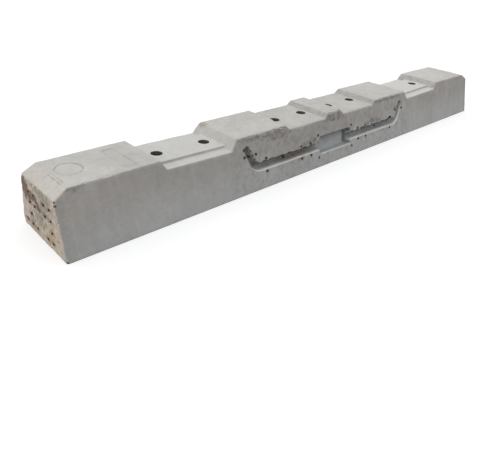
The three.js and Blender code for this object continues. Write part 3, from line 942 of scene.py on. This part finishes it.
def mould_face_concrete(finish, body):
    """Precast concrete struck from a steel mould: a thin, dry cement skin. It gives a pale, matt
    grey with soft clouds, fine sand grain, pinholes, faint runs down the sides, a rougher skin
    with painted shade on the slopes and stains where rust and timber have lain."""
    material, add, place = new_material("precast_concrete_mould_face")
    (x, _, z), (lean, _, rise) = place_and_facing(add, place)
    reach, lean = (add("Math", (value,), operation="ABSOLUTE")[0] for value in (x, lean))
    seat_start, seat_end = (body.rail_seat + side * body.rail_seat_half for side in (-1, 1))
    chamfer_start = body.half_length - body.chamfer_run
    # Clouds of 220 mm and blotches of 45 and 20 mm, as cement and water part against the steel;
    # sand grain of 3 mm, drawn coarser than the real half millimetre so that it shows; patches of
    # 30 mm on the chamfers; and runs down the sides, 28 mm wide and 300 mm long.
    drawn_out = add("Mapping", {"Vector": place, "Scale": (1 / 0.028, 1 / 0.3, 1 / 0.3)})[0]
    clouds, blotches, mottle, grain, patches, runs = (
        add("TexNoise", {"Vector": vector, "Scale": 1 / size, "Detail": detail,
                         "Roughness": harshness})["Fac"]
        for vector, size, detail, harshness in (
            (place, 0.22, 2, 0.5), (place, 0.045, 5, 0.62), (place, 0.020, 4, 0.65),
            (place, 0.003, 3, 0.7), (place, 0.030, 5, 0.65), (drawn_out, 1, 3, 0.5)))
    tone = add("Math", (blotches, 0.75, -0.12), operation="MULTIPLY_ADD")[0]
    tone = add("Math", (clouds, 0.75, tone), operation="MULTIPLY_ADD")[0]
    tone = add("MapRange", (tone, 0.35, 0.95))[0]
    # The rail seats are smoother and a little greener.
    on_seat = add("MapRange", (reach, seat_start - 0.0065, seat_start + 0.0035))[0]
    to_end = add("MapRange", (reach, seat_end + 0.0065, seat_end - 0.0035))[0]
    level = add("MapRange", (rise, 0.90, 0.97))[0]
    # The slopes are rougher and get painted shade, least so beside the left rail seat.
    steep = narrowed(add, add("MapRange", (lean, 0.30, 0.50))[0], (
        (rise, 0.25, 0.40), (reach, chamfer_start - 0.010, chamfer_start - 0.050),
        (x, -0.50, -0.38, 0.2, 1)))
    # The end chamfers are patchy, pinkish and yellowish by turns.
    warm = add("MapRange", (patches, 0.40, 0.58))[0]
    chamfer = add("MapRange", (reach, chamfer_start - 0.004, chamfer_start + 0.006))[0]
    chamfer = add("Math", (chamfer, 0.30), operation="MULTIPLY")[0]
    tint = layered(add, finish.chamfer_pink, [("MIX", finish.chamfer_yellow, warm)])
    # The sides: painted shade, warmer and darker, high up, and painted bounce light, paler and
    # cooler, towards the foot, with faint runs. Their last 30 mm are a little darker and cooler.
    upright = add("MapRange", (rise, 0.5, 0.3))[0]
    high = add("MapRange", (z, 0.05, 0.15))[0]
    high = add("Math", (upright, high), operation="MULTIPLY")[0]
    low = add("Math", (upright, high), operation="SUBTRACT")[0]
    last = add("MapRange", (reach, body.half_length - 0.038, body.half_length - 0.014))[0]
    runs = add("MapRange", (runs, 0.42, 0.72, 0, 0.12))[0]
    # The 20 mm blotches: faint all over, stronger on the sides between the seats, on the slopes
    # and on the chamfers.
    dark = add("MapRange", (mottle, 0.46, 0.70, 0, 0.5))[0]
    between = add("MapRange", (reach, seat_start + 0.0025, seat_start - 0.0075, 0.35, 1))[0]
    spread = add("Math", (between, upright), operation="MULTIPLY")[0]
    for share, most in ((steep, 1.1), (chamfer, 1.6), (1, 0.32)):
        share = add("Math", (share, most), operation="MULTIPLY")[0]
        spread = add("Math", (spread, share), operation="MAXIMUM")[0]
    grime, rust, pale = side_stains(add, place, mottle)
    speck = add("MapRange", (mottle, 0.35, 0.65, 0.12, 0.52))[0]
    hole = pinholes(add, place)
    # Painted shade and dirt in the creases and pinholes, and a faint seam down each side where
    # the mould's parts met.
    crease = narrowed(add, scored_marks(add, place),
                      ((rise, 0.5, 0.7), (mottle, 0.36, 0.56, 0.15, 0.62)))
    seam = off_line(add, reach, seat_start - 0.0025)
    seam = add("MapRange", (seam, 0.0022, 0.0006))[0]
    seam = add("Math", (seam, upright), operation="MULTIPLY")[0]
    shade = add("Math", (hole, 0.75), operation="MULTIPLY")[0]
    for mark, depth in ((crease, 0.9), (seam, 0.14)):
        mark = add("Math", (mark, depth), operation="MULTIPLY")[0]
        shade = add("Math", (shade, mark), operation="MAXIMUM")[0]
    # The right half grows a little lighter towards its end.
    speckle = add("MapRange", (grain, 0.25, 0.75, 0.86, 1.12))[0]
    lighter_rightwards = add("MapRange", (x, 0.1, 1.1, 1, 1.09))[0]
    speckle = add("Math", (speckle, lighter_rightwards), operation="MULTIPLY")[0]
    skin = layered(add, finish.concrete_dark, (
        ("MIX", finish.concrete_light, tone),
        ("MIX", finish.seat_tint, on_seat, to_end, level, 0.7),
        ("MIX", finish.slope_painted_shade, steep), ("MIX", tint, chamfer),
        ("MULTIPLY", finish.side_painted_shade_high, high), ("MIX", finish.side_painted_bounce_low, low, 0.4),
        ("MULTIPLY", finish.side_end, last, upright), ("MULTIPLY", finish.run_shade, runs, upright),
        ("MULTIPLY", finish.mottle_shade, dark, spread),
        ("MIX", finish.grime_and_shade_dark, grime, upright, speck), ("MIX", finish.stain, rust, 0.40),
        ("MIX", finish.concrete_light, pale, 0.5), ("MIX", finish.grime_and_shade_dark, shade),
        ("MULTIPLY", speckle, 1)))
    height = add("Math", (grain, 0.30), operation="MULTIPLY")[0]
    coarse = add("Math", (steep, 1.2, 0.35), operation="MULTIPLY_ADD")[0]
    for relief, factor in ((blotches, 0.8), (hole, -1.0), (crease, -1.2), (mottle, coarse)):
        height = add("Math", (relief, factor, height), operation="MULTIPLY_ADD")[0]
    roughness = add("MapRange", (blotches, 0, 1, 0.80, 0.96))[0]
    return finished(material, {"Base Color": skin, "Roughness": roughness,
                               "Specular IOR Level": 0.35}, height, 0.0012, 0.55)


def nearest_wire(add, place):
    """How far a place is from the nearest wire's middle, with the width drawn in, so that the
    smears of rust lie level."""
    drawn_in = 0.45
    flat = add("VectorMath", (place, (0, drawn_in, 1)), operation="MULTIPLY")[0]
    nearest = None
    for name in WIRES:
        across, up = wire_middle(name)
        gap = add("VectorMath", (flat, (0, drawn_in * across, up)), operation="DISTANCE")["Value"]
        nearest = gap if nearest is None else add("Math", (nearest, gap), operation="MINIMUM")[0]
    return nearest


def end_stains(add, body, place, wander):
    """The end faces' grey, dark and tan stains, each 0 to 1, with outlines that wander. A spot is
    given as its end, its middle across and up, and its half sizes across and up."""
    grey = ((-1, -0.030, 0.130, 0.040, 0.024), (-1, 0.005, 0.078, 0.034, 0.030),
            (-1, -0.030, 0.176, 0.060, 0.018), (-1, 0.070, 0.050, 0.020, 0.030),
            (-1, -0.154, 0.006, 0.020, 0.014), (1, 0.030, 0.090, 0.060, 0.030))
    dark = ((-1, 0.098, 0.152, 0.026, 0.040), (-1, 0.070, 0.136, 0.034, 0.020),
            (-1, 0.030, 0.138, 0.022, 0.012), (-1, 0.008, 0.116, 0.018, 0.012),
            (-1, 0.120, 0.030, 0.016, 0.010), (1, -0.070, 0.150, 0.050, 0.040))
    tan = ((-1, -0.074, 0.060, 0.034, 0.018), (-1, -0.044, 0.034, 0.030, 0.014),
           (-1, 0.050, 0.016, 0.040, 0.008), (1, 0.060, 0.050, 0.040, 0.024))
    return [stained(add, place, wander, [(end * body.half_length, middle, height, 0.3, wide, tall)
                                         for end, middle, height, wide, tall in spots])
            for spots in (grey, dark, tan)]


def broken_end_concrete(finish, body):
    """Concrete cut off with the wires and left rough: mortar with crushed stone showing. It gives
    a warm, uneven beige, a dark damp stain high up on the far side, green-grey growth, a rust
    bloom, a paler band along the near edge and rust in the pit round every wire."""
    material, add, place = new_material("broken_concrete_end_face")
    _, _, z = add("SeparateXYZ", (place,))
    patches, blotches, fine = (
        add("TexNoise", {"Vector": place, "Scale": 1 / size, "Detail": detail,
                         "Roughness": harshness})["Fac"]
        for size, detail, harshness in ((0.05, 5, 0.6), (0.016, 4, 0.62), (0.006, 3, 0.7)))
    # Stones of about 14 mm in the mortar.
    stones = add("TexVoronoi", {"Vector": place, "Scale": 1 / 0.014, "Randomness": 0.9})
    chance = add("SeparateColor", (stones["Color"],))["Green"]
    stone = narrowed(add, 0.55, ((chance, 0.55, 0.75), (stones["Distance"], 0.42, 0.30)))
    wander = add("Math", (1, blotches), operation="SUBTRACT")[0]
    wander = add("Math", (patches, 0.6, wander), operation="MULTIPLY_ADD")[0]
    wander = add("Math", (wander, 0.3), operation="SUBTRACT")[0]
    grey, dark, tan = end_stains(add, body, place, wander)
    # Small dark and light blotches of 16 mm all over, and grit.
    tone = add("MapRange", (blotches, 0.34, 0.66, 1.22, 0.80))[0]
    grit = add("MapRange", (fine, 0.25, 0.75, 0.78, 1.18))[0]
    # The near edge: a band of 20 mm of paler mortar, with a wandering border.
    edge = depth_in_side(add, body, place)
    edge = add("Math", (blotches, 0.030, edge), operation="MULTIPLY_ADD")[0]
    edge = add("MapRange", (edge, 0.036, 0.028))[0]
    low = add("MapRange", (z, 0.186, 0.170))[0]
    # Rust round each wire, a wide halo and a dark ring, with outlines that wander.
    nearest = nearest_wire(add, place)
    rusty = []
    for outline, width, start, full, most in ((patches, -0.012, 0.008, -0.003, 0.6),
                                              (blotches, -0.010, -0.0012, -0.0030, 0.95)):
        off = add("Math", (outline, width, nearest), operation="MULTIPLY_ADD")[0]
        rusty.append(add("MapRange", (off, start, full, 0, most),
                         interpolation_type="SMOOTHSTEP")[0])
    halo, ring = rusty
    skin = layered(add, finish.end_light, (
        ("MIX", finish.end_stone, stone), ("MIX", finish.end_grey, grey, 0.62),
        ("MIX", finish.end_dark, dark, 0.80), ("MIX", finish.end_tan, tan, 0.48),
        ("MULTIPLY", tone, 1), ("MIX", finish.end_light, edge, low, 0.65),
        ("MIX", finish.stain, halo), ("MIX", finish.rust_dark, ring), ("MULTIPLY", grit, 1)))
    relief = add("Math", (fine, 0.5, patches), operation="MULTIPLY_ADD")[0]
    relief = add("Math", (stone, 0.6, relief), operation="MULTIPLY_ADD")[0]
    return finished(material, {"Base Color": skin, "Roughness": 0.95, "Specular IOR Level": 0.25},
                    relief, 0.0030, 0.7)


def laitance(name, light, size, least):
    """A material of weak, chalky laitance: patches of the given size over grit of 3 mm, no darker
    than least times the light colour. Also gives the function that adds a node to it, its object
    coordinates, the value of its patches and its colour so far."""
    material, add, place = new_material(name)
    patches, fine = (
        add("TexNoise", {"Vector": place, "Scale": 1 / grain, "Detail": detail,
                         "Roughness": harshness})["Fac"]
        for grain, detail, harshness in ((size, 5, 0.65), (0.003, 3, 0.7)))
    tone = add("MapRange", (patches, 0.32, 0.64, least, 1.08))[0]
    grit = add("MapRange", (fine, 0.25, 0.75, 0.86, 1.12))[0]
    skin = layered(add, light, [("MULTIPLY", tone, 1), ("MULTIPLY", grit, 1)])
    relief = add("Math", (fine, 0.35, patches), operation="MULTIPLY_ADD")[0]
    finished(material, {"Roughness": 0.92, "Specular IOR Level": 0.3}, relief, 0.0020, 0.6)
    return material, add, place, patches, skin


def groove_concrete(finish, body):
    """Concrete struck from a bent filler in the mould: laitance, rougher and cooler than the mould
    face. It gives a painted highlight on the lower lip, painted shade under the upper one and
    deeper in, and a brown stretch."""
    material, add, place, patches, skin = laitance(
        "laitance_groove_concrete", finish.groove_light, 0.022, 0.72)
    (_, _, z), (_, _, rise) = place_and_facing(add, place)
    uneven = add("Math", (1, patches), operation="SUBTRACT")[0]
    brown = stained(add, place, uneven, ((-0.262, -0.13, 0.092, 0.110, 0.08, 0.034),))
    depth = depth_in_side(add, body, place)
    depth = add("Math", (patches, 0.006, depth), operation="MULTIPLY_ADD")[0]
    # Painted shade on faces turned down, under the upper lip, and deeper in the groove.
    under = add("MapRange", (rise, 0.10, -0.55, 0, 0.30))[0]
    deep = add("MapRange", (depth, 0.008, 0.015, 0, 0.20))[0]
    dirt_and_shade = add("Math", (deep, under), operation="ADD")[0]
    # Painted highlight on the lower lip where it faces up.
    facing_up = add("MapRange", (rise, 0.22, 0.40))[0]
    outer = add("MapRange", (depth, 0.0125, 0.008, 0, 0.90))[0]
    low = add("MapRange", (z, 0.155, 0.128))[0]
    skin = layered(add, skin, (("MIX", finish.stain, brown, 0.45), ("MIX", finish.grime_and_shade_dark, dirt_and_shade),
                               ("MIX", finish.lip_painted_highlight, facing_up, outer, low)))
    return finished(material, {"Base Color": skin})


def pocket_concrete(finish, body):
    """Concrete struck from a loose block in the mould: smooth, pale and bluish on the floor, darker
    on the lower wall, with painted shade under the head and at the ends but for the grooves'
    mouths, and a painted highlight where the rim faces up."""
    material, add, place, patches, skin = laitance(
        "laitance_pocket_concrete", finish.pocket_light, 0.035, 0.88)
    (_, _, z), (lean, _, rise) = place_and_facing(add, place)
    depth = depth_in_side(add, body, place)
    lying = add("MapRange", (rise, 0.10, 0.60))[0]
    rim = add("MapRange", (depth, 0.008, 0.005, 0, 0.85))[0]
    deep = add("MapRange", (depth, 0.004, 0.010, 0, 0.30))[0]
    on_foot = add("Math", (lying, deep), operation="MULTIPLY")[0]
    lean = add("Math", (lean,), operation="ABSOLUTE")[0]
    # Painted shade on the end walls, deeper in, but for the grooves' mouths.
    at_end = add("MapRange", (lean, 0.25, 0.60))[0]
    inner = add("MapRange", (depth, 0.020, 0.038))[0]
    off_mouth = add("MapRange", (off_line(add, z, 0.087), 0.016, 0.026))[0]
    inner = add("Math", (inner, off_mouth), operation="MAXIMUM")[0]
    at_end = add("Math", (at_end, inner), operation="MULTIPLY")[0]
    # Painted shadow under the head.
    shadow_under_head = add("MapRange", (z, 0.092, 0.122, 0, 0.85), interpolation_type="SMOOTHSTEP")[0]
    dirt_and_shade = on_foot
    for share in (at_end, shadow_under_head):
        dirt_and_shade = add("Math", (dirt_and_shade, share), operation="MAXIMUM")[0]
    ragged = add("MapRange", (patches, 0.35, 0.60, 0.60, 0.85))[0]
    # Painted highlight on the rim where it faces up, then the lower wall's darkening and the
    # painted shade.
    skin = layered(add, skin, (("MIX", finish.lip_painted_highlight, lying, rim),
                               ("MIX", finish.grime_and_shade_dark, dirt_and_shade, ragged)))
    return finished(material, {"Base Color": skin})


def hole_wall_concrete(finish):
    """Concrete struck from pins: the walls of the holes and the larger air voids, dark with painted
    shade, and pale only where a rim faces up, most of all in the top."""
    material, add, place = new_material("hole_wall_painted_shade_concrete")
    (_, y, _), (_, _, rise) = place_and_facing(add, place)
    # Patches of 8 mm in the painted shade.
    wall_patches = add("TexNoise", {"Vector": place, "Scale": 1 / 0.008, "Detail": 4,
                            "Roughness": 0.6})["Fac"]
    tone = add("MapRange", (wall_patches, 0.30, 0.70, 0.75, 1.25))[0]
    rim = add("MapRange", (rise, 0.45, 0.75))[0]
    across = add("Math", (y,), operation="ABSOLUTE")[0]
    in_top = add("MapRange", (across, 0.105, 0.095, 0.35, 1))[0]
    skin = layered(add, finish.hole_painted_shade, (("MULTIPLY", tone, 1),
                                           ("MIX", finish.concrete_dark, rim, in_top)))
    return finished(material, {"Base Color": skin, "Roughness": 0.75, "Specular IOR Level": 0.4},
                    wall_patches, 0.0012, 0.5)


def rusted_wire_steel(finish):
    """High-tensile prestressing wire, drawn and sheared off: bare carbon steel left to rust. It
    gives a matt dark brown with brighter orange spots of 2.5 mm and a little metal."""
    material, add, place = new_material("rusted_prestressing_wire_steel")
    spots = add("TexNoise", {"Vector": place, "Scale": 1 / 0.0025, "Detail": 4,
                             "Roughness": 0.65})["Fac"]
    bright = add("MapRange", (spots, 0.45, 0.75))[0]
    metallic = add("MapRange", (spots, 0.30, 0.50, 0.45, 0))[0]
    skin = layered(add, finish.rust_dark, [("MIX", finish.rust_bright, bright)])
    return finished(material, {"Base Color": skin, "Metallic": metallic, "Roughness": 0.8},
                    spots, 0.0006, 0.6)


def opal_acrylic_floor(finish, stage):
    """Opal acrylic sheet, cast and lit evenly from below. It gives a plain white on which the
    object's own shadow stays light; clouds of 800 mm keep it from being quite even."""
    material, add, place = new_material("opal_acrylic_floor")
    clouds = add("TexNoise", {"Vector": place, "Scale": 1 / 0.8, "Detail": 2})["Fac"]
    tone = add("MapRange", (clouds, 0, 1, 0.99, 1))[0]
    return finished(material, {
        "Base Color": layered(add, finish.floor, [("MULTIPLY", tone, 1)]), "Roughness": 0.9,
        "Specular IOR Level": 0.2, "Emission Color": (1, 1, 1, 1),
        "Emission Strength": stage.floor_glow})


# ---------------------------------------------------------------- pieces

def cut_away(piece, cutter):
    """Takes the cutter out of the piece by a Manifold boolean that carries the cutter's finish
    over, keeps the result as the piece's own mesh, and deletes the cutter."""
    modifier = piece.modifiers.new(cutter.name, "BOOLEAN")
    modifier.operation = "DIFFERENCE"
    modifier.solver = "MANIFOLD"
    modifier.material_mode = "TRANSFER"
    modifier.object = cutter
    graph = bpy.context.evaluated_depsgraph_get()
    result = bpy.data.meshes.new_from_object(piece.evaluated_get(graph))
    if len(result.vertices) == len(piece.data.vertices):
        raise RuntimeError(f"{cutter.name} took nothing away")
    piece.modifiers.clear()
    used = piece.data, cutter.data
    piece.data = result
    bpy.data.objects.remove(cutter)
    for mesh in used:
        bpy.data.meshes.remove(mesh)


class SLEEPER_OT_cast_concrete(bpy.types.Operator):
    """Makes the cast concrete body in place of its plain solid"""
    bl_idname = "sleeper.cast_concrete"
    bl_label = "Cast concrete"

    def execute(self, context):
        scene = context.scene
        body, cuts, wear = scene.sleeper_body, scene.sleeper_cuts, scene.sleeper_wear
        finish = scene.sleeper_finishes
        face, end, groove, pocket = (
            made(finish, body) for made in (mould_face_concrete, broken_end_concrete,
                                            groove_concrete, pocket_concrete))
        # The walls of the holes, voids and notches are painted dark as shade.
        hole = hole_wall_concrete(finish)
        piece = solid_object("cast_concrete", worn_skin(body, wear), face)
        for name, solid, material in (
            ("left_end_break", end_breaks(body, wear, -1), end),
            ("right_end_break", end_breaks(body, wear, 1), end),
            ("corner_breaks", broken_corners(body), end),
            ("end_notches", end_notches(body), hole),
            ("edge_chips", edge_chips(body), face),
            ("plain_tablets", plain_tablets(body), face),
            ("groove_cut", cable_groove(body, cuts), groove),
            ("pocket_cut", capacitor_pocket(body, cuts), pocket),
            ("bolt_hole_cuts", bolt_holes(body, cuts), hole),
            ("clip_hole_cuts", clip_holes(body, cuts), hole),
            ("groove_void_cuts", groove_voids(body), hole),
            ("riser_cuts", crumbled_riser(body), hole),
            ("side_void_cuts", side_voids(body), hole),
            ("air_void_cuts", air_voids(body, cuts, wear), face),
            ("wire_bore_cuts", wire_bores(), end),
        ):
            cut_away(piece, solid_object(name, solid, material))
        mesh = piece.data
        mesh.shade_smooth()
        mesh.set_sharp_from_angle(angle=math.radians(24))
        mesh.calc_loop_triangles()
        if not 20000 < len(mesh.loop_triangles) < 200000:
            raise RuntimeError(f"cast_concrete has {len(mesh.loop_triangles)} triangles")
        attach(piece, "root")
        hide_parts("sleeper_body")
        return {"FINISHED"}


class SLEEPER_OT_wire_ends(bpy.types.Operator):
    """Gives the prestressing wires their rusted finish"""
    bl_idname = "sleeper.wire_ends"
    bl_label = "Wire ends"

    def execute(self, context):
        steel = rusted_wire_steel(context.scene.sleeper_finishes)
        for name in WIRES:
            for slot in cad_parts[name].material_slots:
                slot.material = steel
        return {"FINISHED"}


class SLEEPER_OT_stage(bpy.types.Operator):
    """Makes the floor, the lights and the camera"""
    bl_idname = "sleeper.stage"
    bl_label = "Studio"

    def execute(self, context):
        scene = context.scene
        stage = scene.sleeper_stage
        half = stage.floor_half
        corners = [(-half, -half, 0), (half, -half, 0), (half, half, 0), (-half, half, 0)]
        mesh = bpy.data.meshes.new("studio_floor")
        mesh.from_pydata(corners, [], [(0, 1, 2, 3)])
        mesh.materials.append(opal_acrylic_floor(scene.sleeper_finishes, stage))
        floor = bpy.data.objects.new("studio_floor", mesh)
        scene.collection.objects.link(floor)
        floor.visible_diffuse = False

        light = bpy.data.lights.new("overhead_soft_light", "SUN")
        light.energy, light.angle = stage.key_strength, stage.key_spread
        light.color = (0.985, 0.995, 1.0)
        # It comes from above, a little from the left and from behind.
        overhead = bpy.data.objects.new("overhead_soft_light", light)
        lean = Vector((-0.33, 0.30, 0.89)).to_track_quat("Z", "Y")
        overhead.matrix_world = lean.to_matrix().to_4x4()
        scene.collection.objects.link(overhead)

        world = bpy.data.worlds.new("studio_sky")
        world.use_nodes = True
        background = world.node_tree.nodes["Background"]
        background.inputs["Color"].default_value = (0.97, 0.985, 1.0, 1.0)
        background.inputs["Strength"].default_value = stage.sky_strength
        scene.world = world

        data = bpy.data.cameras.new("studio_camera")
        data.sensor_width, data.lens = 36.0, 35.56
        data.shift_x, data.shift_y = -0.0010, -0.0772
        # The columns are the camera's right, up and backwards directions, and its place.
        camera = bpy.data.objects.new("studio_camera", data)
        camera.matrix_world = Matrix((
            (0.728181, 0.277278, -0.626793, -1.762707),
            (-0.683100, 0.368225, -0.630702, -1.385253),
            (0.055921, 0.887428, 0.457543, 0.907472),
            (0, 0, 0, 1),
        ))
        scene.collection.objects.link(camera)
        scene.camera = camera
        scene.view_settings.view_transform = "Standard"
        return {"FINISHED"}


class SLEEPER_PT_panel(bpy.types.Panel):
    """Lists the sleeper's pieces and its studio"""
    bl_idname = "SLEEPER_PT_panel"
    bl_label = "Concrete sleeper"
    bl_space_type = "VIEW_3D"
    bl_region_type = "UI"
    bl_category = "Sleeper"

    def draw(self, context):
        for operator in OPERATORS:
            self.layout.operator(operator.bl_idname)
        for group in GROUPS:
            box = self.layout.box()
            box.label(text=group)
            settings = getattr(context.scene, group)
            for name in settings.bl_rna.properties.keys():
                if name not in ("rna_type", "name"):
                    box.prop(settings, name)


OPERATORS = (SLEEPER_OT_stage, SLEEPER_OT_cast_concrete, SLEEPER_OT_wire_ends)
GROUPS = {
    "sleeper_body": SleeperBodySizes,
    "sleeper_cuts": SleeperCutSizes,
    "sleeper_wear": SleeperWear,
    "sleeper_finishes": SleeperFinishes,
    "sleeper_stage": SleeperStage,
}


def register():
    for name, group in GROUPS.items():
        bpy.utils.register_class(group)
        setattr(bpy.types.Scene, name, bpy.props.PointerProperty(type=group))
    for operator in (*OPERATORS, SLEEPER_PT_panel):
        bpy.utils.register_class(operator)


def unregister():
    for operator in (SLEEPER_PT_panel, *reversed(OPERATORS)):
        bpy.utils.unregister_class(operator)
    for name, group in GROUPS.items():
        delattr(bpy.types.Scene, name)
        bpy.utils.unregister_class(group)


def main():
    register()
    bpy.ops.sleeper.stage()
    bpy.ops.sleeper.cast_concrete()
    bpy.ops.sleeper.wire_ends()


if __name__ == "__main__":
    main()
